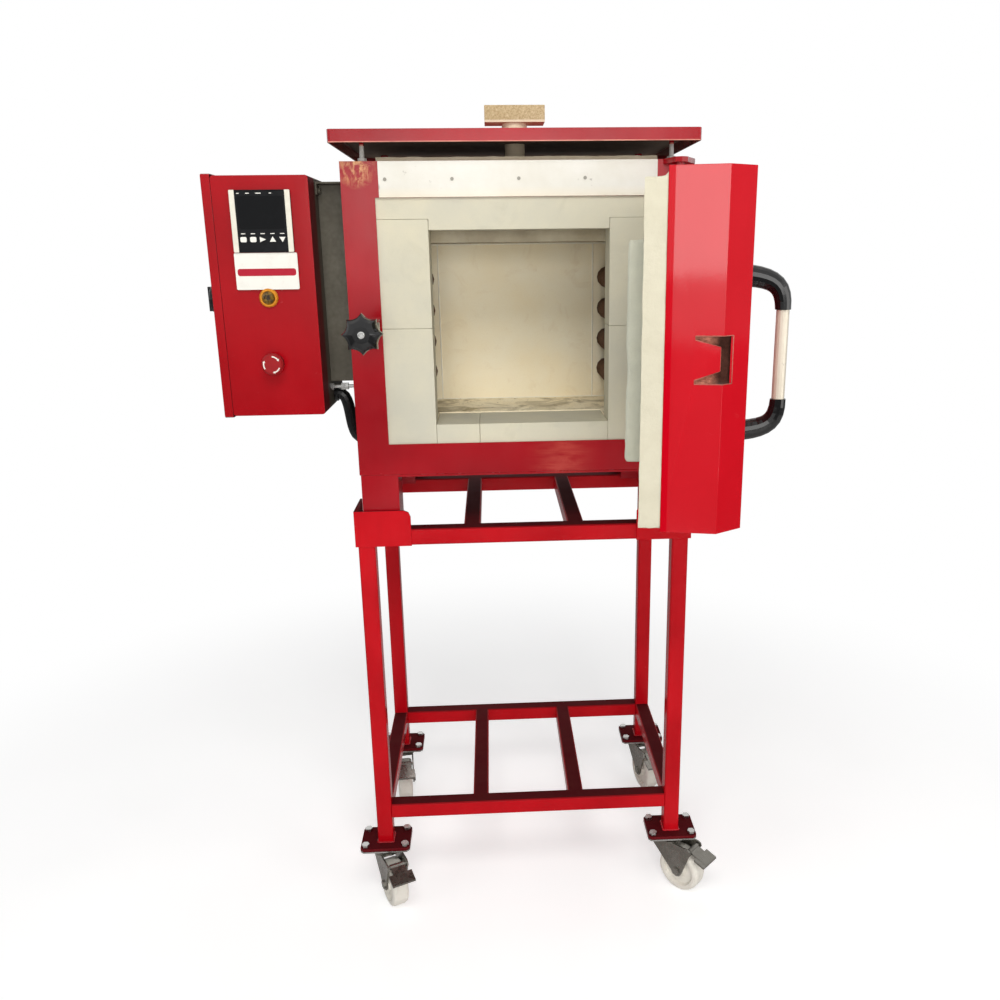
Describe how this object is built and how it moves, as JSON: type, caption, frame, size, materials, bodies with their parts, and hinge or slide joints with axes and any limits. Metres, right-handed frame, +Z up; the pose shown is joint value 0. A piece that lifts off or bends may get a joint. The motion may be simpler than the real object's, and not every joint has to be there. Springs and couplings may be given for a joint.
{
  "type": "ceramic kiln",
  "caption": "Front-loading ceramic kiln with a firebrick chamber, side heating tubes, hinged door with swing-bolt latch, control box and castored stand.",
  "frame": {"origin": "middle of the bounding box at floor level, with the door open as pictured", "axes": "+Z up, +X to the right seen from the front, +Y towards the rear; the door side faces -Y"},
  "size_m": [0.8894, 0.934, 1.4913],
  "materials": {
    "red_paint": "gloss paint over sheet and tube steel",
    "castor_steel": "zinc plate",
    "castor_wheel": "moulded nylon",
    "front_brick": "porous insulating firebrick",
    "lining_brick": "porous insulating firebrick",
    "fibre": "ceramic fibre",
    "door_board": "ceramic fibre board",
    "stopper_brick": "insulating firebrick",
    "heating_element": "ceramic tube with element wire",
    "heat_strip": "brushed stainless steel",
    "shell_steel": "mill finish zinc-coated sheet",
    "handle_tube": "satin stainless steel",
    "plated_steel": "zinc plate",
    "black_plastic": "moulded, glossy",
    "conduit": "black plastic",
    "controller": "fine-grained plastic",
    "pilot_lamp": "amber lens in a plated ring",
    "emergency_stop": "moulded"
  },
  "bodies": {
    "kiln": {"stand_side_left": "red_paint", "stand_side_right": "red_paint", "stand_lower_frame": "red_paint", "stand_upper_frame": "red_paint", "castor_plate_front_left": "castor_steel", "castor_plate_front_right": "castor_steel", "castor_plate_rear_left": "castor_steel", "castor_plate_rear_right": "castor_steel", "front_frame": "red_paint", "heat_strip": "heat_strip", "body_shell": "shell_steel", "rear_panel": "shell_steel", "base_feet": "red_paint", "brick_jamb_left_lower": "front_brick", "brick_jamb_left_upper": "front_brick", "brick_jamb_right_lower": "front_brick", "brick_jamb_right_upper": "front_brick", "brick_lintel": "front_brick", "brick_sill_short": "front_brick", "brick_sill_long": "front_brick", "base_board": "fibre", "lining_left": "lining_brick", "lining_right": "lining_brick", "lining_back": "lining_brick", "lining_floor": "lining_brick", "lining_ceiling": "lining_brick", "top_blanket": "fibre", "heating_bank_left": "heating_element", "heating_bank_right": "heating_element", "roof_tray": "red_paint", "control_box": "red_paint", "controller": "controller", "pilot_lamp": "pilot_lamp", "bracket_upper": "plated_steel", "bracket_lower": "plated_steel", "conduit": "conduit"},
    "door": {"door_casing": "red_paint", "door_insulation": "door_board", "door_plug": "door_board", "handle_tube": "handle_tube", "handle_end_upper": "black_plastic", "handle_end_lower": "black_plastic"},
    "latch": {"latch_bolt": "plated_steel"},
    "knob": {"star_knob": "black_plastic"},
    "stopper": {"vent_stopper": "stopper_brick"},
    "side_door": {"side_door": "red_paint"},
    "lock": {"lock_knob": "black_plastic"},
    "stop": {"emergency_stop": "emergency_stop"},
    "swivel_front_left": {"castor_fork_front_left": "castor_steel"},
    "wheel_front_left": {"castor_wheel_front_left": "castor_wheel"},
    "pedal_front_left": {"brake_pedal_front_left": "castor_steel"},
    "swivel_front_right": {"castor_fork_front_right": "castor_steel"},
    "wheel_front_right": {"castor_wheel_front_right": "castor_wheel"},
    "pedal_front_right": {"brake_pedal_front_right": "castor_steel"},
    "swivel_rear_left": {"castor_fork_rear_left": "castor_steel"},
    "wheel_rear_left": {"castor_wheel_rear_left": "castor_wheel"},
    "pedal_rear_left": {"brake_pedal_rear_left": "castor_steel"},
    "swivel_rear_right": {"castor_fork_rear_right": "castor_steel"},
    "wheel_rear_right": {"castor_wheel_rear_right": "castor_wheel"},
    "pedal_rear_right": {"brake_pedal_rear_right": "castor_steel"}
  },
  "joints": [
    {"name": "door_hinge", "type": "hinge", "parent": "kiln", "child": "door", "pos_m": [0.33558, 0.016, 1.121], "axis": [0, 0, 1], "range_deg": [-77, 38]},
    {"name": "latch_swing", "type": "hinge", "parent": "kiln", "child": "latch", "pos_m": [-0.16742, 0.025, 1.125], "axis": [0, 0, 1], "range_deg": [-60, 16.5]},
    {"name": "knob_spin", "type": "hinge", "parent": "latch", "child": "knob", "pos_m": [-0.16742, -0.105, 1.125], "axis": [0, -1, 0], "continuous": true},
    {"name": "vent_lift", "type": "slide", "parent": "kiln", "child": "stopper", "axis": [0, 0, 1], "range_m": [0, 0.165]},
    {"name": "side_door_hinge", "type": "hinge", "parent": "kiln", "child": "side_door", "pos_m": [-0.41342, 0.2415, 1.1715], "axis": [0, 0, 1], "range_deg": [-110, 0]},
    {"name": "lock_turn", "type": "hinge", "parent": "side_door", "child": "lock", "pos_m": [-0.42842, 0.075, 1.1715], "axis": [-1, 0, 0], "range_deg": [0, 90]},
    {"name": "stop_push", "type": "slide", "parent": "kiln", "child": "stop", "axis": [0, 1, 0], "range_m": [0, 0.005]},
    {"name": "swivel_front_left", "type": "hinge", "parent": "kiln", "child": "swivel_front_left", "pos_m": [-0.20542, 0.059, 0.118], "axis": [0, 0, 1], "continuous": true},
    {"name": "wheel_spin_front_left", "type": "hinge", "parent": "swivel_front_left", "child": "wheel_front_left", "pos_m": [-0.1919, 0.03, 0.045], "axis": [0.9063, 0.4226, 0], "continuous": true},
    {"name": "brake_front_left", "type": "hinge", "parent": "swivel_front_left", "child": "pedal_front_left", "pos_m": [-0.18176, 0.00824, 0.0965], "axis": [0.9063, 0.4226, 0], "range_deg": [0, 10]},
    {"name": "swivel_front_right", "type": "hinge", "parent": "kiln", "child": "swivel_front_right", "pos_m": [0.36058, 0.059, 0.118], "axis": [0, 0, 1], "continuous": true},
    {"name": "wheel_spin_front_right", "type": "hinge", "parent": "swivel_front_right", "child": "wheel_front_right", "pos_m": [0.38321, 0.03637, 0.045], "axis": [0.7071, 0.7071, 0], "continuous": true},
    {"name": "brake_front_right", "type": "hinge", "parent": "swivel_front_right", "child": "pedal_front_right", "pos_m": [0.40018, 0.0194, 0.0965], "axis": [0.7071, 0.7071, 0], "range_deg": [0, 10]},
    {"name": "swivel_rear_left", "type": "hinge", "parent": "kiln", "child": "swivel_rear_left", "pos_m": [-0.20542, 0.425, 0.118], "axis": [0, 0, 1], "continuous": true},
    {"name": "wheel_spin_rear_left", "type": "hinge", "parent": "swivel_rear_left", "child": "wheel_rear_left", "pos_m": [-0.20208, 0.39317, 0.045], "axis": [0.9945, 0.1045, 0], "continuous": true},
    {"name": "brake_rear_left", "type": "hinge", "parent": "swivel_rear_left", "child": "pedal_rear_left", "pos_m": [-0.19957, 0.3693, 0.0965], "axis": [0.9945, 0.1045, 0], "range_deg": [0, 10]},
    {"name": "swivel_rear_right", "type": "hinge", "parent": "kiln", "child": "swivel_rear_right", "pos_m": [0.36058, 0.425, 0.118], "axis": [0, 0, 1], "continuous": true},
    {"name": "wheel_spin_rear_right", "type": "hinge", "parent": "swivel_rear_right", "child": "wheel_rear_right", "pos_m": [0.3694, 0.39424, 0.045], "axis": [0.9613, 0.2756, 0], "continuous": true},
    {"name": "brake_rear_right", "type": "hinge", "parent": "swivel_rear_right", "child": "pedal_rear_right", "pos_m": [0.37601, 0.37117, 0.0965], "axis": [0.9613, 0.2756, 0], "range_deg": [0, 10]}
  ]
}
